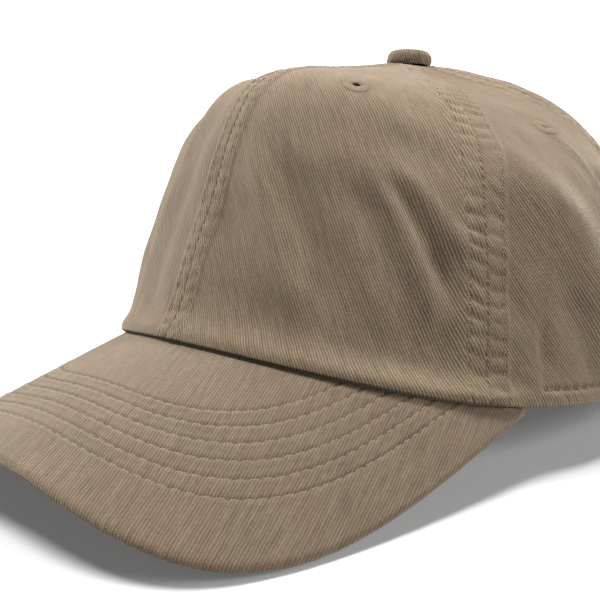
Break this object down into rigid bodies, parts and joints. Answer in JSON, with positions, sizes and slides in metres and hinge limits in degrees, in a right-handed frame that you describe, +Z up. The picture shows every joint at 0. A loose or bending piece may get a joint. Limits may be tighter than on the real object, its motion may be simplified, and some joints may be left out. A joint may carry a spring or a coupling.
{
  "type": "baseball cap",
  "caption": "Soft unstructured baseball cap of six twill panels with a curved stitched bill, covered top button, embroidered eyelets and a strap with a clamping buckle.",
  "frame": {"origin": "on the table under the middle of the cap as it stands on the bill side edges and the rear rim: centre of the base of its box", "axes": "+Z up, -Y forwards over the bill, +X to the wearer's left"},
  "size_m": [0.1694, 0.2598, 0.1216],
  "materials": {
    "twill": "washed matt cotton twill",
    "embroidery": "satin-stitched cotton thread",
    "lining": "plain cotton tape",
    "sweatband": "soft cotton twill",
    "board": "matt",
    "label": "woven satin",
    "brass": "antique, brushed",
    "steel": "plated"
  },
  "bodies": {
    "cap": {"bill_board": "board", "bill_top_cover": "twill", "bill_under_cover": "twill", "buckle_frame": "brass", "buckle_loop": "twill", "buckle_pin": "brass", "button_back": "steel", "button_cover": "twill", "button_rivet": "steel", "button_shell": "steel", "button_washer": "steel", "care_label": "label", "front_left_eyelet": "embroidery", "front_left_panel": "twill", "front_right_eyelet": "embroidery", "front_right_panel": "twill", "front_seam_tape": "lining", "left_front_side_seam_tape": "lining", "left_rear_side_seam_tape": "lining", "rear_left_eyelet": "embroidery", "rear_left_panel": "twill", "rear_opening_binding": "twill", "rear_right_eyelet": "embroidery", "rear_right_panel": "twill", "rear_seam_tape": "lining", "right_front_side_seam_tape": "lining", "right_rear_side_seam_tape": "lining", "side_left_eyelet": "embroidery", "side_left_panel": "twill", "side_right_eyelet": "embroidery", "side_right_panel": "twill", "sweatband": "sweatband"},
    "strap": {"strap": "twill"},
    "lever": {"buckle_lever": "brass"}
  },
  "joints": [
    {"name": "strap_slide", "type": "hinge", "parent": "cap", "child": "strap", "pos_m": [0, 0.05269, 0.01001], "axis": [0, 0.1041, 0.9946], "range_deg": [-9, 9]},
    {"name": "lever_hinge", "type": "hinge", "parent": "cap", "child": "lever", "pos_m": [-0.00949, 0.12699, 0.01251], "axis": [-0.0244, 0.0861, -0.996], "range_deg": [0, 95]}
  ]
}
